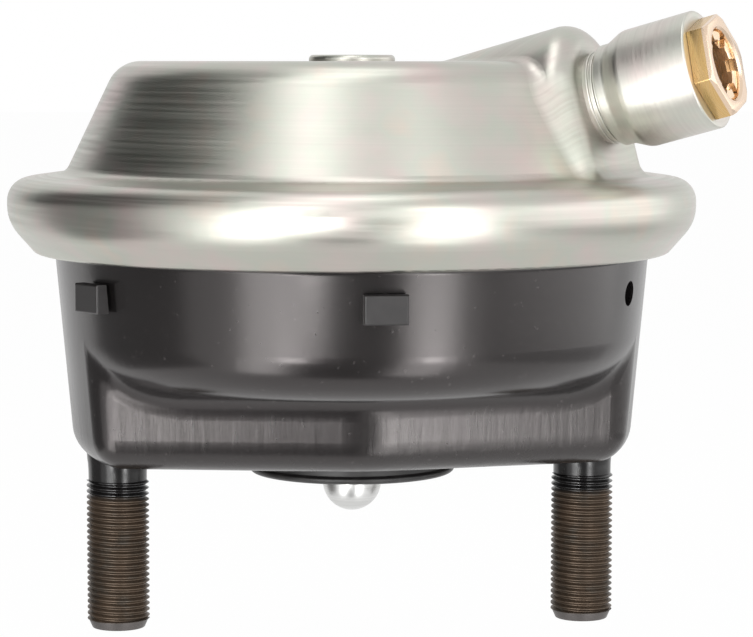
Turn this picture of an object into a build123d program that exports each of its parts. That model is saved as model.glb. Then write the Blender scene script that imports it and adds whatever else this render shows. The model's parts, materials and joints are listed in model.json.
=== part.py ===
from build123d import *
import os
from math import cos, radians, sin, tan

# Diaphragm brake chamber for a disc brake.
# Frame: origin at the centre of the mounting face, +X through the right-hand stud, +Z towards the
# pressure cover. The open side of the vent ring faces -Y. Millimetres and degrees throughout.

# Lower housing: a tapered drum, drawn in below a ledge to a narrow base with bowed long faces
HOUSING_SHEET = 3.0
WALL_TAPER = 5.2  # from vertical
FLARE_Z = 52.2  # where the wall turns out into the flange
FLARE_ANGLE = 49.0  # flange slope from horizontal
FLANGE_REACH = 7.7
FLARE_BEND = 1.5
LEDGE_Z = 20.7
LEDGE_ROUND = 13.0
LEDGE_CREASE = 8.0
BASE_HALF_WIDTH = 41.5  # where the two flanks of a long face would meet, at the mounting face
BASE_FLANK_ANGLE = 11.0  # of each flank to the stud line
BASE_RIDGE_ROUND = 35.0  # where the flanks meet
BASE_CORNER_ROUND = 10.0
FLOOR_ROUND = 9.0

# Mounting studs
STUD_PITCH = 120.7
STUD_EDGE = 10.65  # from a stud's axis to the drum's wall, carried down to the mounting face
STUD_R = 8.0
STUD_PRESS_R = 8.5  # where it is pressed into the housing
STUD_LAND = 1.0  # full-size stretch at the mounting face
STUD_SHOULDER_R = 7.5
STUD_SHOULDER_END = 5.8  # below the mounting face
STUD_LENGTH = 44.0  # below the mounting face
STUD_CHAMFER = 1.5
STUD_HEAD_R = 13.0
STUD_HEAD_HEIGHT = 6.0
STUD_FIT = 0.05
HEAD_CLEARANCE = 0.1

# Vent ring
VENT_COUNT = 6
VENT_OPEN = 1  # place in the ring that stays open as the drain
VENT_HOLE_R = 3.1
VENT_Z = 44.0
PLUG_WIDTH = 10.4
PLUG_HEIGHT = 7.0
PLUG_PROUD = 4.1
PLUG_EDGE = 0.5
PLUG_STANDOFF = 1.2  # of the head from the wall, over a round seat
PLUG_SEAT = 0.3  # of the seat's edge beyond the hole
PLUG_FIT = 0.1
PLUG_BARB = 0.7
PLUG_BARB_LENGTH = 3.0

# Pressure cover, rolled over the housing flange
COVER_SHEET = 3.0
CRIMP_GAP = 0.5
LIP_CLEARANCE = 0.1
RIM_GAP = 1.3  # between the flange edge and the inside of the rim
RIM_WIDTH = 14.85  # from the foot of the cone to the outside of the rim
RIM_SLOPE = 8.0
RIM_TOP_BEND = 5.8
RIM_LOW_BEND = 10.5
LIP_SET = 6.7  # from the outside of the rim to the bend of the lip
LIP_LENGTH = 3.4
LIP_ANGLE = 19.0
LIP_BEND = 2.0
CONE_FOOT_BEND = 3.2
CONE_ANGLE = 25.8  # from vertical
COVER_RISE = 28.0
SHOULDER_ROUND = 9.0
PAD_R = 11.0
PAD_RISE = 1.6
PAD_ROUND = 1.1

# Port boss, drawn out of the cover
PORT_AZIMUTH = -32.2
PORT_ELEVATION = 15.1
PORT_REACH = 8.94  # of the boss face's centre beyond the cover's shoulder
PORT_DROP = 9.2  # of the same centre below the cover's top
BOSS_R = 19.9
BOSS_DEPTH = 24.0  # of its flat foot below the port's axis
BOSS_EDGE_ROUND = 6.0
BOSS_BLEND = 4.5

# Nozzle friction-welded to the boss
SPIGOT_R = 9.0
SPIGOT_FIT = 0.05
NECK_R = 11.0
NECK_LENGTH = 3.6
STEP_R = 12.6  # short step between the neck and the cone
STEP_LENGTH = 2.5
NOZZLE_CONE = 4.2
NOZZLE_R = 14.6
NOZZLE_BODY = 18.0
NOZZLE_CHAMFER = 0.6
PASSAGE_R = 4.5
FLASH_SKIN = 0.2  # weld metal between its two curled rims
FLASH_REACH = 0.7
FLASH_RIM = 0.65
FLASH_START = 0.95  # from the boss face to the first rim
FLASH_SPACING = 1.2

# Push-in tube fitting screwed into the nozzle
CARTRIDGE_R = 10.0
CARTRIDGE_LENGTH = 17.5
CARTRIDGE_FIT = 0.05
HEX_FLATS = 22.5
HEX_TURN = 16.0  # of its first corner from the horizontal
HEX_HEIGHT = 5.1
HEX_CHAMFER = 0.8
TUBE_R = 6.0
TUBE_FIT = 0.05
SOCKET_LENGTH = 6.0
SOCKET_STOP = 1.5
RING_BORE_R = 8.25
RING_FIT = 0.05
RING_TUBE_CLEARANCE = 0.15
SEAL_LENGTH = 2.3
WASHER_LENGTH = 1.2
GRIP_LENGTH = 1.0
GRIP_GAP = 1.4
COLLET_NECK_R = 7.5
COLLET_NECK_LENGTH = 2.2
COLLET_FIT = 0.15
COLLET_WALL_R = 8.55
COLLET_HEAD = 3.4
COLLET_TRAVEL = 1.2
COLLET_NOTCHES = 6
COLLET_NOTCH_WIDTH = 3.0
COLLET_NOTCH_DEPTH = 1.5
MOUTH_R = 8.8
BODY_SEAL_R = 0.8

# Diaphragm
DIAPHRAGM_SHEET = 3.0
DIAPHRAGM_GAP = 0.3
BEAD_EDGE = 5.8  # thickness over the edge of the housing flange
BEAD_SEAT = 0.05
BEAD_INSET = 3.0  # from the wall's inner face to the bead's inner face

# Push rod and plate
PLATE_SHEET = 3.0
PLATE_MARGIN = 9.4  # from the plate's edge to the cover's shoulder
PLATE_SKIRT = 6.0
PLATE_BEND = 5.0
PLATE_GAP = 0.3
ROD_R = 7.5
ROD_TIP_DROP = 14.6  # below the mounting face
ROD_SPIGOT_R = 5.0
ROD_FIT = 0.05
WASHER_R = 16.0
WASHER_HEIGHT = 4.0

# Return spring and its seat
SPRING_WIRE_R = 2.4
SPRING_MARGIN = 8.0  # from the top coil to the plate's edge
SPRING_TURNS = 5.5
SEAT_SHEET = 1.2
SEAT_RIM = 3.0  # beyond the centre of the lowest coil
SEAT_UPSTAND = 4.0
SEAT_FIT = 0.2
SEAT_GAP = 0.05

# Floor opening, sealing collar and boot
OPENING_R = 18.0
SEAL_SEAT_DEPTH = 0.5  # coined into the floor around the collar
SEAL_SEAT_CLEARANCE = 0.2
COLLAR_R = 26.4
COLLAR_NECK_FIT = 0.1
COLLAR_STEP_R = 25.3
COLLAR_DROP = 4.4
COLLAR_LIP = 1.8
COLLAR_BORE_R = 15.8
COLLAR_GRIP_R = 20.5
COLLAR_GRIP = 1.6
BOOT_SHEET = 1.2
BOOT_FOLD_R = 19.6
BOOT_NECK_R = 12.0
BOOT_FOLDS = 7
BOOT_FOLD_BEND = 0.9
BOOT_CUFF = 6.0
BOOT_FIT = 0.05
BOOT_BEAD = 1.5
RETAINER_SHEET = 1.1
RETAINER_GAP = 0.05
RETAINER_CLEARANCE = 2.55  # from the retainer to the spring seat
CLAMP_SHEET = 1.1
CLAMP_INSET = 1.0


# Plane geometry of the pressings, as (radius, height) pairs

HOUSING_BASE_R = STUD_PITCH / 2 + STUD_EDGE


def wall_radius(z):
    return HOUSING_BASE_R + z * tan(radians(WALL_TAPER))


def along(point, angle, distance):
    """The point at a distance from another, in the direction of an angle."""
    return point[0] + distance * cos(radians(angle)), point[1] + distance * sin(radians(angle))


def meet(p, p_angle, q, q_angle):
    """Where the line through p meets the line through q."""
    c, s = cos(radians(q_angle)), sin(radians(q_angle))
    across = (q[0] - p[0]) * s - (q[1] - p[1]) * c
    turn = sin(radians(q_angle - p_angle))
    return along(p, p_angle, across / turn)


FLARE_START = (wall_radius(FLARE_Z), FLARE_Z)
FLANGE_EDGE = (FLARE_START[0] + FLANGE_REACH, FLARE_Z + FLANGE_REACH * tan(radians(FLARE_ANGLE)))
FLANGE_TOP_EDGE = along(FLANGE_EDGE, FLARE_ANGLE + 90, HOUSING_SHEET)

RIM_R = FLANGE_EDGE[0] + RIM_GAP + COVER_SHEET
CONE_FOOT_R = RIM_R - RIM_WIDTH
RIM_CREST = (
    RIM_R,
    FLANGE_TOP_EDGE[1] + BEAD_EDGE + COVER_SHEET / cos(radians(RIM_SLOPE))
    - (RIM_R - FLANGE_TOP_EDGE[0]) * tan(radians(RIM_SLOPE)),
)
CONE_FOOT = (CONE_FOOT_R, RIM_CREST[1] + (RIM_R - CONE_FOOT_R) * tan(radians(RIM_SLOPE)))
COVER_TOP = CONE_FOOT[1] + COVER_RISE
SHOULDER = (CONE_FOOT_R - COVER_RISE * tan(radians(CONE_ANGLE)), COVER_TOP)
CROWN_R = (CONE_FOOT_R + RIM_R) / 2  # the dome ends and the rolled rim begins here

PLATE_R = SHOULDER[0] - PLATE_MARGIN
SPRING_HIGH_R = PLATE_R - SPRING_MARGIN
RETAINER_R = COLLAR_GRIP_R + RETAINER_GAP + RETAINER_SHEET
SEAT_BORE_R = RETAINER_R + RETAINER_CLEARANCE
SPRING_LOW_R = SEAT_BORE_R + SEAT_SHEET + SEAT_FIT + SPRING_WIRE_R
PLATE_TOP = COVER_TOP - COVER_SHEET - DIAPHRAGM_GAP - DIAPHRAGM_SHEET - PLATE_GAP
PLATE_BOTTOM = PLATE_TOP - PLATE_SHEET
WASHER_BOTTOM = PLATE_BOTTOM - WASHER_HEIGHT

PORT_R = SHOULDER[0] + PORT_REACH
PORT_CENTRE = (
    PORT_R * cos(radians(PORT_AZIMUTH)),
    PORT_R * sin(radians(PORT_AZIMUTH)),
    COVER_TOP - PORT_DROP,
)
PORT_AXIS = (
    cos(radians(PORT_ELEVATION)) * cos(radians(PORT_AZIMUTH)),
    cos(radians(PORT_ELEVATION)) * sin(radians(PORT_AZIMUTH)),
    sin(radians(PORT_ELEVATION)),
)
PORT = Plane(
    PORT_CENTRE,
    x_dir=(-sin(radians(PORT_AZIMUTH)), cos(radians(PORT_AZIMUTH)), 0),
    z_dir=PORT_AXIS,
)

# Distances along the port's axis, from the boss face
NOZZLE_END = NECK_LENGTH + STEP_LENGTH + NOZZLE_CONE + NOZZLE_BODY
CARTRIDGE_START = NOZZLE_END - CARTRIDGE_LENGTH
SOCKET_START = CARTRIDGE_START + SOCKET_STOP
SOCKET_END = SOCKET_START + SOCKET_LENGTH
WASHER_START = SOCKET_END + SEAL_LENGTH
GRIP_START = WASHER_START + WASHER_LENGTH
NECK_START = GRIP_START + GRIP_LENGTH + GRIP_GAP + COLLET_TRAVEL
MOUTH_START = NECK_START + COLLET_NECK_LENGTH


# Forming helpers


def turned(*points):
    """A solid of revolution about Z from a closed outline of (radius, height) points."""
    return revolve(Plane.XZ * make_face(Polyline(*points, close=True)), Axis.Z)


def band(points, bends, thickness, side=Side.RIGHT):
    """A flat strip of sheet that follows a bent line."""
    line = FilletPolyline(*points, radius=bends)
    return make_face(offset(line, amount=thickness, side=side).edges())


def spun(face):
    return revolve(Plane.XZ * face, Axis.Z)


def closed_under(points, bends, closing):
    """The solid of revolution inside a bent line that starts on the axis and closes by straight lines."""
    line = FilletPolyline(*points, radius=bends)
    return spun(make_face(line.edges() + Polyline(points[-1], *closing, points[0]).edges()))


def tube(outer_r, inner_r, low, high):
    return turned((inner_r, low), (outer_r, low), (outer_r, high), (inner_r, high))


def frustum(radius, taper, low, high, inset):
    """A solid cone on Z whose wall has the given radius at height 0, taken in by an inset."""
    skin = inset / cos(radians(taper))
    low_r = radius + low * tan(radians(taper)) - skin
    high_r = radius + high * tan(radians(taper)) - skin
    return turned((0, low), (low_r, low), (high_r, high), (0, high))


def on_skin(solid, point):
    return min(face.distance_to(point) for face in solid.faces()) < 0.01


def blended(first, second, radius, low, high):
    """Two solids as one, with the edges where their surfaces cross between two heights rounded."""
    whole = first + second
    middles = [(edge, edge @ 0.5) for edge in whole.edges()]
    seams = [e for e, m in middles if low < m.Z < high and on_skin(first, m) and on_skin(second, m)]
    return fillet(seams, radius)


# Lower housing


def drum(inset, reach=0):
    """The upper bowl, closed at the ledge and flared at the top."""
    side = 90 - WALL_TAPER
    foot = along((HOUSING_BASE_R, 0), 180, inset / cos(radians(WALL_TAPER)))
    slope = along(FLARE_START, FLARE_ANGLE + 90, inset)
    edge = along(along(FLANGE_EDGE, FLARE_ANGLE, reach), FLARE_ANGLE + 90, inset)
    corner = meet(foot, side, (0, LEDGE_Z + inset), 0)
    bend = meet(foot, side, slope, FLARE_ANGLE)
    top = along(edge, FLARE_ANGLE + 90, HOUSING_SHEET)
    points = [(0, LEDGE_Z + inset), corner, bend, edge]
    return closed_under(points, [LEDGE_ROUND - inset, FLARE_BEND + inset], [top, (0, top[1])])


def base(inset):
    """The narrow base: the drum's wall carried down between two ridged faces with the same taper."""
    top = LEDGE_Z + 1.5 * LEDGE_ROUND
    grow = top * tan(radians(WALL_TAPER)) - inset / cos(radians(WALL_TAPER))
    half = BASE_HALF_WIDTH + grow / cos(radians(BASE_FLANK_ANGLE))
    reach = half / tan(radians(BASE_FLANK_ANGLE))
    plan = Polygon((0, half), (-reach, 0), (0, -half), (reach, 0))
    plan = fillet(plan.vertices().group_by(Axis.X)[1], BASE_RIDGE_ROUND + grow)
    plan &= Circle(HOUSING_BASE_R + grow)
    corners = plan.vertices().filter_by(lambda v: abs(v.X) > HOUSING_BASE_R / 2)
    plan = fillet(corners, BASE_CORNER_ROUND - inset)
    block = extrude(Pos(0, 0, top) * plan, amount=top - inset, dir=(0, 0, -1), taper=WALL_TAPER)
    return fillet(block.edges().group_by(Axis.Z)[0], FLOOR_ROUND - inset)


def housing_volume(inset, reach=0):
    ledge_end = LEDGE_Z + 0.75 * LEDGE_ROUND
    return blended(drum(inset, reach), base(inset), LEDGE_CREASE + inset, 0, ledge_end)


def vent_places():
    """Each vent's place in the ring and its turn about Z from the -Y side."""
    return [(place, 360 * place / VENT_COUNT) for place in range(VENT_COUNT)]


def radial_pin(radius, inner, outer):
    """A pin that points along -Y at the vents' height."""
    return Pos(0, -inner, VENT_Z) * Rot(90, 0, 0) * Cylinder(
        radius, outer - inner, align=(Align.CENTER, Align.CENTER, Align.MIN)
    )


def lower_housing():
    shell = housing_volume(0) - housing_volume(HOUSING_SHEET, HOUSING_SHEET)
    shell -= Cylinder(OPENING_R, 3 * HOUSING_SHEET)
    shell -= Cylinder(COLLAR_R + SEAL_SEAT_CLEARANCE, 2 * SEAL_SEAT_DEPTH)
    for x in (-STUD_PITCH / 2, STUD_PITCH / 2):
        shell -= Pos(x, 0, 0) * Cylinder(STUD_PRESS_R + STUD_FIT, 4 * HOUSING_SHEET)
    for _, turn in vent_places():
        shell -= Rot(0, 0, turn) * radial_pin(VENT_HOLE_R, HOUSING_BASE_R / 2, 2 * HOUSING_BASE_R)
    return shell


def vent_plug():
    """A snap-in plug at the -Y side: square head on a round seat, stem through the wall, barb."""
    wall = wall_radius(VENT_Z)
    head = Pos(0, -wall, VENT_Z) * Box(PLUG_WIDTH, 2 * PLUG_PROUD, PLUG_HEIGHT)
    head = fillet(head.edges().group_by(Axis.Y)[0], PLUG_EDGE)
    head -= frustum(HOUSING_BASE_R + PLUG_STANDOFF, WALL_TAPER, 0, FLARE_Z, 0)
    seat = radial_pin(VENT_HOLE_R + PLUG_SEAT, wall - HOUSING_SHEET, wall + PLUG_PROUD / 2)
    seat -= frustum(HOUSING_BASE_R, WALL_TAPER, 0, FLARE_Z, 0)
    inside = wall_radius(VENT_Z - VENT_HOLE_R) - 1.5 * HOUSING_SHEET
    stem_r = VENT_HOLE_R - PLUG_FIT
    stem = radial_pin(stem_r, inside, wall + PLUG_PROUD / 2)
    barb = turned(
        (0, 0), (stem_r + PLUG_BARB, 0), (stem_r - PLUG_BARB, PLUG_BARB_LENGTH), (0, PLUG_BARB_LENGTH)
    )
    return head + seat + stem + Pos(0, -inside, VENT_Z) * Rot(-90, 0, 0) * barb


def stud(side):
    """A mounting stud whose head is cropped to nest in the corner of the housing."""
    x = side * STUD_PITCH / 2
    head = Pos(x, 0, HOUSING_SHEET) * Cylinder(
        STUD_HEAD_R, STUD_HEAD_HEIGHT, align=(Align.CENTER, Align.CENTER, Align.MIN)
    )
    head &= base(HOUSING_SHEET + HEAD_CLEARANCE)
    low = HOUSING_SHEET + STUD_HEAD_HEIGHT / 2
    shank = turned(
        (0, low),
        (STUD_PRESS_R, low),
        (STUD_PRESS_R, 0),
        (STUD_R, 0),
        (STUD_R, -STUD_LAND),
        (STUD_SHOULDER_R, -STUD_LAND),
        (STUD_SHOULDER_R, -STUD_SHOULDER_END),
        (STUD_R, -STUD_SHOULDER_END),
        (STUD_R, STUD_CHAMFER - STUD_LENGTH),
        (STUD_R - STUD_CHAMFER, -STUD_LENGTH),
        (0, -STUD_LENGTH),
    )
    return head + Pos(x, 0, 0) * shank


# Pressure cover and port


def cover_line():
    """The cover's outer surface from its axis to the lip, with the bend at each corner."""
    roll = along(FLARE_START, FLARE_ANGLE - 90, CRIMP_GAP + COVER_SHEET)
    low = meet(roll, FLARE_ANGLE, (RIM_R, 0), 90)
    lip = meet(roll, FLARE_ANGLE, (RIM_R - LIP_SET, 0), 90)
    lip_end = along(lip, 180 + LIP_ANGLE, LIP_LENGTH)
    points = [(0, COVER_TOP), SHOULDER, CONE_FOOT, RIM_CREST, low, lip, lip_end]
    return points, [SHOULDER_ROUND, CONE_FOOT_BEND, RIM_TOP_BEND, RIM_LOW_BEND, LIP_BEND]


def dome(inset):
    """The space under the cover's top and cone and the inner half of its rim."""
    down = 270 + CONE_ANGLE
    top = (0, COVER_TOP - inset)
    shoulder = meet(top, 0, along(SHOULDER, down - 90, inset), down)
    under_rim = along(CONE_FOOT, 270 - RIM_SLOPE, inset)
    foot = meet(shoulder, down, under_rim, 360 - RIM_SLOPE)
    end = meet(under_rim, 360 - RIM_SLOPE, (CROWN_R + inset, 0), 90)
    bends = [SHOULDER_ROUND - inset, CONE_FOOT_BEND + inset]
    return closed_under([top, shoulder, foot, end], bends, [(end[0], 0), (0, 0)])


def boss(inset):
    """The nose drawn out along the port's axis: an arch with straight sides that run down to the rim."""
    arch = Circle(BOSS_R) + Rectangle(2 * BOSS_R, BOSS_DEPTH, align=(Align.CENTER, Align.MAX))
    nose = extrude(Pos(0, 0, -inset) * offset(arch, -inset), amount=-PORT_R)
    edges = nose.edges().group_by(Axis.Z)[-1].sort_by(Axis.Y)[1:]
    return PORT * fillet(edges, BOSS_EDGE_ROUND - inset)


def pressure_cover():
    points, bends = cover_line()
    rolled = spun(band(points, bends, COVER_SHEET)) - drum(-LIP_CLEARANCE) - Cylinder(CROWN_R, 3 * COVER_TOP)
    crown = blended(dome(0), boss(0), BOSS_BLEND, CONE_FOOT[1] - COVER_SHEET, COVER_TOP + COVER_SHEET)
    cover = rolled + (crown - dome(COVER_SHEET)) - boss(COVER_SHEET)
    pad = Pos(0, 0, COVER_TOP) * Cylinder(PAD_R, PAD_RISE, align=(Align.CENTER, Align.CENTER, Align.MIN))
    cover += fillet(pad.edges().group_by(Axis.Z)[-1], PAD_ROUND)
    cover -= Pos(0, 0, COVER_TOP - COVER_SHEET) * Cylinder(
        PAD_R - COVER_SHEET, PAD_RISE, align=(Align.CENTER, Align.CENTER, Align.MIN)
    )
    return cover - PORT * Cylinder(SPIGOT_R + SPIGOT_FIT, 4 * COVER_SHEET)


def port_nozzle():
    return PORT * turned(
        (PASSAGE_R, -COVER_SHEET),
        (SPIGOT_R, -COVER_SHEET),
        (SPIGOT_R, 0),
        (NECK_R, 0),
        (NECK_R, NECK_LENGTH),
        (STEP_R, NECK_LENGTH),
        (STEP_R, NECK_LENGTH + STEP_LENGTH),
        (NOZZLE_R, NECK_LENGTH + STEP_LENGTH + NOZZLE_CONE),
        (NOZZLE_R, NOZZLE_END - NOZZLE_CHAMFER),
        (NOZZLE_R - NOZZLE_CHAMFER, NOZZLE_END),
        (CARTRIDGE_R + CARTRIDGE_FIT, NOZZLE_END),
        (CARTRIDGE_R + CARTRIDGE_FIT, CARTRIDGE_START),
        (PASSAGE_R, CARTRIDGE_START),
    )


def nozzle_weld_ring():
    """The flash of the friction weld: a skin round the neck with two rims curled out of it."""
    ring = tube(NECK_R + FLASH_SKIN, NECK_R, 0, NECK_LENGTH)
    for low in (FLASH_START, FLASH_START + FLASH_SPACING):
        ring += tube(NECK_R + FLASH_REACH, NECK_R, low, low + FLASH_RIM)
    return PORT * ring


def seal_groove():
    """Centre of the body's outer seal, as radius and distance along the axis."""
    return CARTRIDGE_R + CARTRIDGE_FIT - BODY_SEAL_R, (NECK_START + MOUTH_START) / 2


def fitting_body():
    face = NOZZLE_END + HEX_HEIGHT
    hexagon = extrude(RegularPolygon(HEX_FLATS / 2, 6, major_radius=False, rotation=HEX_TURN), HEX_HEIGHT)
    corner_r = HEX_FLATS / 2 / cos(radians(30))
    crop = turned(
        (0, NOZZLE_END),
        (corner_r, NOZZLE_END),
        (corner_r, face - HEX_CHAMFER / 2),
        (corner_r - HEX_CHAMFER, face),
        (0, face),
    )
    body = Pos(0, 0, NOZZLE_END) * hexagon & crop
    body += Pos(0, 0, CARTRIDGE_START) * Cylinder(
        CARTRIDGE_R, CARTRIDGE_LENGTH, align=(Align.CENTER, Align.CENTER, Align.MIN)
    )
    body -= turned(
        (0, CARTRIDGE_START),
        (PASSAGE_R, CARTRIDGE_START),
        (PASSAGE_R, SOCKET_START),
        (TUBE_R + TUBE_FIT, SOCKET_START),
        (TUBE_R + TUBE_FIT, SOCKET_END),
        (RING_BORE_R, SOCKET_END),
        (RING_BORE_R, NECK_START),
        (COLLET_NECK_R, NECK_START),
        (COLLET_NECK_R, MOUTH_START),
        (MOUTH_R, MOUTH_START),
        (MOUTH_R, face),
        (0, face),
    )
    ring_r, ring_z = seal_groove()
    groove = tube(CARTRIDGE_R + 1, ring_r - BODY_SEAL_R, ring_z - BODY_SEAL_R, ring_z + BODY_SEAL_R)
    return PORT * (body - groove)


def fitting_seal():
    ring_r, ring_z = seal_groove()
    return PORT * Pos(0, 0, ring_z) * Torus(ring_r, BODY_SEAL_R)


def fitting_ring(low, length):
    """A ring in the body's ring bore that lets the tube pass."""
    return PORT * tube(RING_BORE_R - RING_FIT, TUBE_R + RING_TUBE_CLEARANCE, low, low + length)


def tube_seal():
    ring = fitting_ring(SOCKET_END, SEAL_LENGTH)
    return fillet(ring.edges(), SEAL_LENGTH / 4)


def release_collet():
    """The sleeve that frees the tube when pressed in, with a notched head and a lip behind the neck."""
    bore = TUBE_R + RING_TUBE_CLEARANCE
    lip_high = NECK_START - COLLET_FIT
    lip_low = lip_high - GRIP_GAP + COLLET_FIT
    head_low = MOUTH_START + COLLET_TRAVEL + COLLET_FIT
    collet = turned(
        (bore, lip_low),
        (RING_BORE_R - 2 * COLLET_FIT, lip_low),
        (RING_BORE_R - 2 * COLLET_FIT, lip_high),
        (COLLET_NECK_R - COLLET_FIT, lip_high),
        (COLLET_NECK_R - COLLET_FIT, head_low),
        (COLLET_WALL_R, head_low),
        (COLLET_WALL_R, head_low + COLLET_HEAD),
        (bore, head_low + COLLET_HEAD),
    )
    cutter = Box(COLLET_WALL_R, COLLET_NOTCH_WIDTH, 2 * COLLET_NOTCH_DEPTH)
    cutter = Pos(COLLET_WALL_R, 0, head_low + COLLET_HEAD) * cutter
    for notch in range(COLLET_NOTCHES):
        collet -= Rot(0, 0, 360 * notch / COLLET_NOTCHES) * cutter
    return PORT * collet


# Diaphragm


def diaphragm():
    """Rubber sheet that lines the cover, with a wedge bead clamped on the housing flange."""
    points, bends = cover_line()
    first = COVER_SHEET + DIAPHRAGM_GAP
    line, line_bends = points[:4], bends[:2]
    line[3] = meet(CONE_FOOT, -RIM_SLOPE, (FLANGE_TOP_EDGE[0], 0), 90)
    sheet = band(line, line_bends, first + DIAPHRAGM_SHEET) - band(line, line_bends, first)
    seat = along(FLANGE_TOP_EDGE, FLARE_ANGLE + 90, BEAD_SEAT)
    inner_r = FLARE_START[0] - HOUSING_SHEET + BEAD_INSET
    low = meet(seat, FLARE_ANGLE, (inner_r, 0), 90)
    under = along((RIM_CREST[0], RIM_CREST[1]), 270 - RIM_SLOPE, COVER_SHEET + BEAD_SEAT)
    outer_high = meet(under, 180 - RIM_SLOPE, (seat[0], 0), 90)
    inner_high = meet(under, 180 - RIM_SLOPE, (inner_r, 0), 90)
    bead = make_face(Polyline(low, seat, outer_high, inner_high, close=True))
    return spun(sheet + bead)


# Push rod, plate, spring and boot


def push_plate():
    line = [(ROD_SPIGOT_R + ROD_FIT, PLATE_TOP), (PLATE_R, PLATE_TOP), (PLATE_R, PLATE_TOP - PLATE_SKIRT)]
    return spun(band(line, [PLATE_BEND], PLATE_SHEET))


def rod_washer():
    return tube(WASHER_R, ROD_SPIGOT_R + ROD_FIT, WASHER_BOTTOM, PLATE_BOTTOM)


def push_rod():
    centre = ROD_R - ROD_TIP_DROP
    shank = turned(
        (0, centre),
        (ROD_R, centre),
        (ROD_R, WASHER_BOTTOM),
        (ROD_SPIGOT_R, WASHER_BOTTOM),
        (ROD_SPIGOT_R, PLATE_TOP),
        (0, PLATE_TOP),
    )
    return shank + Pos(0, 0, centre) * Sphere(ROD_R)


def spring_seat():
    low = HOUSING_SHEET + SEAT_GAP
    ring = tube(SPRING_LOW_R + SEAT_RIM, SEAT_BORE_R, low, low + SEAT_SHEET)
    return ring + tube(SEAT_BORE_R + SEAT_SHEET, SEAT_BORE_R, low, low + SEAT_UPSTAND)


def return_spring():
    """A conical coil with ground ends between the seat and the plate."""
    low = HOUSING_SHEET + 2 * SEAT_GAP + SEAT_SHEET
    high = PLATE_BOTTOM - SEAT_GAP
    rise = high - low - SPRING_WIRE_R
    cone = Axis((0, 0, 0), (rise, 0, SPRING_HIGH_R - SPRING_LOW_R)).direction.get_angle(Vector(1, 0, 0))
    line = Helix(rise / SPRING_TURNS, rise, SPRING_LOW_R, (0, 0, low + SPRING_WIRE_R / 2), cone_angle=cone)
    wire = sweep(Plane(line @ 0, z_dir=line % 0) * Circle(SPRING_WIRE_R), path=line)
    return wire & tube(2 * SPRING_HIGH_R, SPRING_LOW_R / 2, low, high)


def boot_heights():
    """Top of the sealing collar's grip, foot of the folds and foot of the cuff."""
    grip = HOUSING_SHEET + COLLAR_GRIP
    folds = grip + BOOT_BEAD + RETAINER_SHEET + 2 * RETAINER_GAP
    return grip, folds, WASHER_BOTTOM - BOOT_CUFF - CLAMP_INSET


def sealing_collar():
    """Rubber ring gripped in the floor opening, with a flange that seals against the caliper."""
    return turned(
        (COLLAR_BORE_R, -COLLAR_DROP),
        (COLLAR_R, -COLLAR_DROP),
        (COLLAR_R, COLLAR_LIP - COLLAR_DROP),
        (COLLAR_STEP_R, COLLAR_LIP - COLLAR_DROP),
        (COLLAR_STEP_R, SEAL_SEAT_DEPTH),
        (OPENING_R - COLLAR_NECK_FIT, SEAL_SEAT_DEPTH),
        (OPENING_R - COLLAR_NECK_FIT, HOUSING_SHEET),
        (COLLAR_GRIP_R, HOUSING_SHEET),
        (COLLAR_GRIP_R, HOUSING_SHEET + COLLAR_GRIP),
        (COLLAR_BORE_R, HOUSING_SHEET + COLLAR_GRIP),
    )


def rod_boot():
    """Bellows from the collar's grip to a cuff on the rod."""
    grip, foot, cuff = boot_heights()
    cuff_r = ROD_R + BOOT_FIT + BOOT_SHEET
    step = (cuff - foot) / BOOT_FOLDS
    line = [(BOOT_NECK_R + 1.5 * BOOT_SHEET, grip + RETAINER_GAP), (BOOT_NECK_R + 1.5 * BOOT_SHEET, foot)]
    for fold in range(BOOT_FOLDS):
        line.append((BOOT_FOLD_R, foot + (fold + 0.5) * step))
        line.append((BOOT_NECK_R if fold < BOOT_FOLDS - 1 else cuff_r, foot + (fold + 1) * step))
    line.append((cuff_r, cuff + BOOT_CUFF))
    boot = spun(band(line, [BOOT_FOLD_BEND] * (len(line) - 2), BOOT_SHEET, Side.LEFT))
    bead = tube(COLLAR_GRIP_R, BOOT_NECK_R + BOOT_SHEET, grip + RETAINER_GAP, grip + RETAINER_GAP + BOOT_BEAD)
    return boot + bead


def boot_retainer():
    """Steel ring that presses the boot's bead onto the collar."""
    grip = boot_heights()[0]
    low = grip + 2 * RETAINER_GAP + BOOT_BEAD
    ring = tube(RETAINER_R, BOOT_FOLD_R - BOOT_SHEET, low, low + RETAINER_SHEET)
    return ring + tube(RETAINER_R, RETAINER_R - RETAINER_SHEET, HOUSING_SHEET + RETAINER_GAP, low)


def boot_clamp():
    cuff = boot_heights()[2]
    inner = ROD_R + 2 * BOOT_FIT + BOOT_SHEET
    return tube(inner + CLAMP_SHEET, inner, cuff + CLAMP_INSET, cuff + BOOT_CUFF - CLAMP_INSET)


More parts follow.
